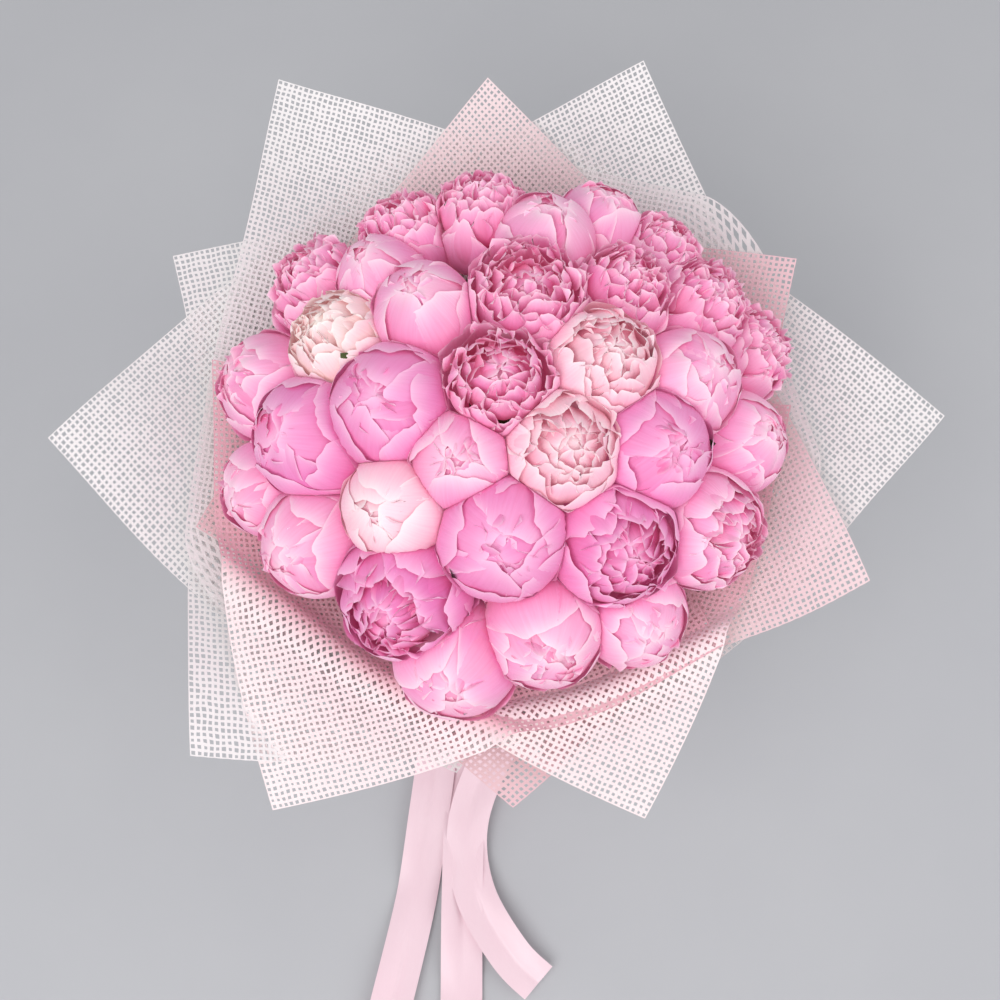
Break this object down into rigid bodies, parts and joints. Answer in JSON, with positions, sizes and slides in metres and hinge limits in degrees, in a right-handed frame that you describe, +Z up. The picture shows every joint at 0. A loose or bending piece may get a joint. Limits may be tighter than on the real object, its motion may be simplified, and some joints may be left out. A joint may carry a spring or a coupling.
{
  "type": "wrapped bouquet of peonies",
  "caption": "Hand-tied bouquet of pink double peonies wrapped in square sheets of open mesh, tied with a satin ribbon, standing on its spiral of cut stems.",
  "frame": {"origin": "the level cut end of the centre stem, on the bouquet's axis, on the surface it stands on", "axes": "+Z up along the axis, -Y towards the knot and the ribbon tails, +X to the right seen from the knot's side"},
  "size_m": [0.6593, 0.7465, 0.498],
  "materials": {
    "peony_pink": "soft matte petals, mid pink with paler edges and deep pink seams",
    "peony_deep": "soft matte petals, stronger pink",
    "peony_pale": "soft matte petals, pale pink",
    "peony_cream": "soft matte petals, cream pink",
    "stem": "smooth green stem, pale at the cut",
    "leaf": "satin dark green leaf",
    "string": "matte twisted string",
    "white_mesh": "stiff open-weave mesh of flat white fibre",
    "pink_mesh": "stiff open-weave mesh of flat pale pink fibre",
    "ribbon": "pale pink satin"
  },
  "bodies": {
    "root": {"peony_01": "peony_pink", "peony_02": "peony_pink", "peony_03": "peony_pale", "peony_04": "peony_pink", "peony_05": "peony_pale", "peony_06": "peony_pink", "peony_07": "peony_deep", "peony_08": "peony_pink", "peony_09": "peony_pink", "peony_10": "peony_pink", "peony_11": "peony_cream", "peony_12": "peony_pink", "peony_13": "peony_deep", "peony_14": "peony_pink", "peony_15": "peony_deep", "peony_16": "peony_pale", "peony_17": "peony_pink", "peony_18": "peony_pink", "peony_19": "peony_deep", "peony_20": "peony_pink", "peony_21": "peony_deep", "peony_22": "peony_pink", "peony_23": "peony_pink", "peony_24": "peony_deep", "peony_25": "peony_pink", "peony_26": "peony_pink", "peony_27": "peony_pink", "peony_28": "peony_pink", "peony_29": "peony_pink", "peony_30": "peony_pink", "peony_31": "peony_pink", "peony_32": "peony_pink", "peony_33": "peony_pink", "stems": "stem", "string": "string", "wrap_left": "white_mesh", "wrap_right": "white_mesh", "wrap_rear_left": "white_mesh", "wrap_rear_right": "white_mesh", "wrap_low_left": "white_mesh", "wrap_back_left": "white_mesh", "wrap_front_left": "pink_mesh", "wrap_front_right": "pink_mesh", "wrap_pink_right": "pink_mesh", "wrap_pink_left": "pink_mesh", "wrap_pink_back": "pink_mesh", "wrap_front_low": "pink_mesh", "wrap_low_right": "pink_mesh", "ribbon_band": "ribbon", "ribbon_knot": "ribbon", "ribbon_loop_left": "ribbon", "ribbon_loop_right": "ribbon", "ribbon_tail_left": "ribbon", "ribbon_tail_right": "ribbon", "ribbon_tail_short": "ribbon", "leaf_left": "leaf", "leaf_right": "leaf", "leaf_front": "leaf", "leaf_rear": "leaf"}
  },
  "joints": []
}
